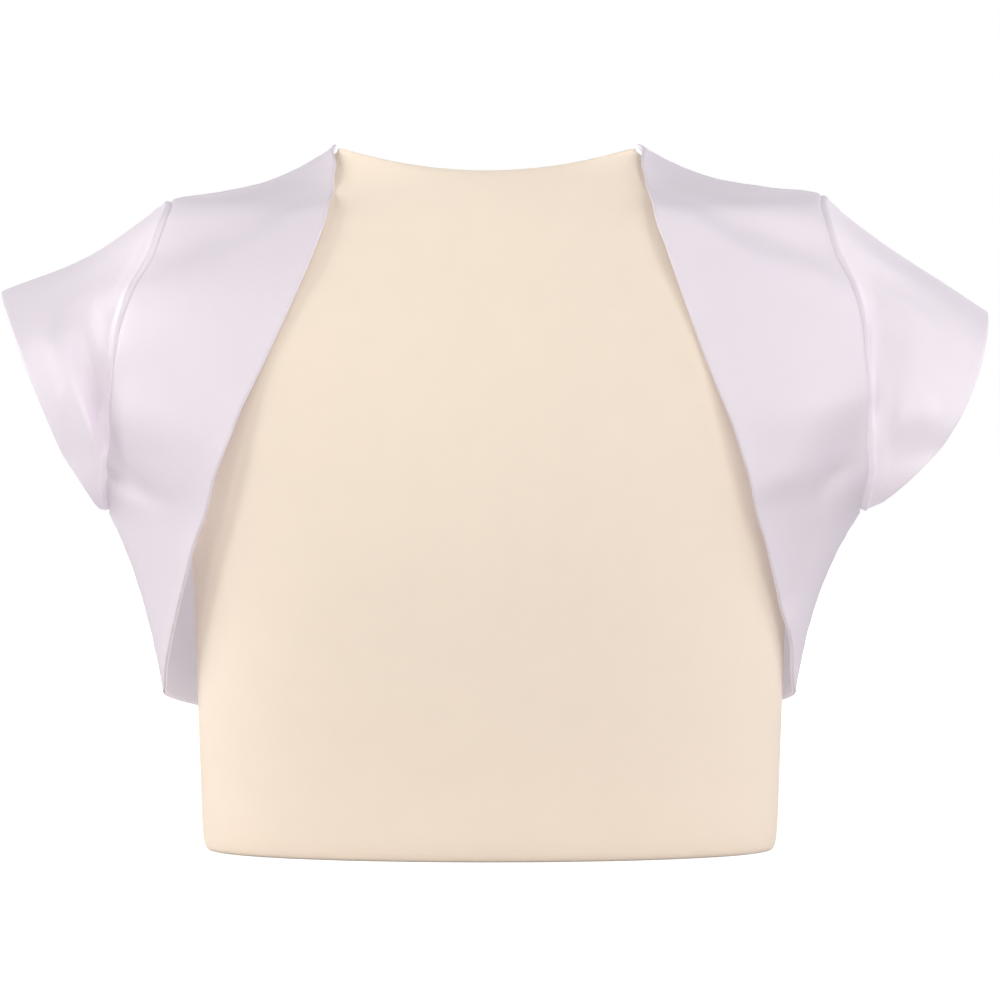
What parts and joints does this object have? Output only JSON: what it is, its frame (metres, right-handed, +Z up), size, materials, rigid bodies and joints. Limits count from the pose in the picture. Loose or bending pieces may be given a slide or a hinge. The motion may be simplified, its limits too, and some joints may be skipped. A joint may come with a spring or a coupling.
{
  "type": "bolero jacket on a dress form",
  "caption": "Child's short satin bolero jacket with cap sleeves and curved open fronts, worn on a smooth limbless dress form that stands on its flat base.",
  "frame": {"origin": "centre of the whole part's bounding box in X and Y, at the height of the form's flat base", "axes": "+X to the wearer's left, +Y to the wearer's back, +Z up; the open front faces -Y"},
  "size_m": [0.4035, 0.1857, 0.2859],
  "materials": {
    "satin": "smooth white satin with a soft sheen",
    "form_cover": "matt cream jersey"
  },
  "bodies": {
    "root": {"front_left": "satin", "front_right": "satin", "back": "satin", "sleeve_left": "satin", "sleeve_right": "satin", "dress_form": "form_cover"}
  },
  "joints": []
}
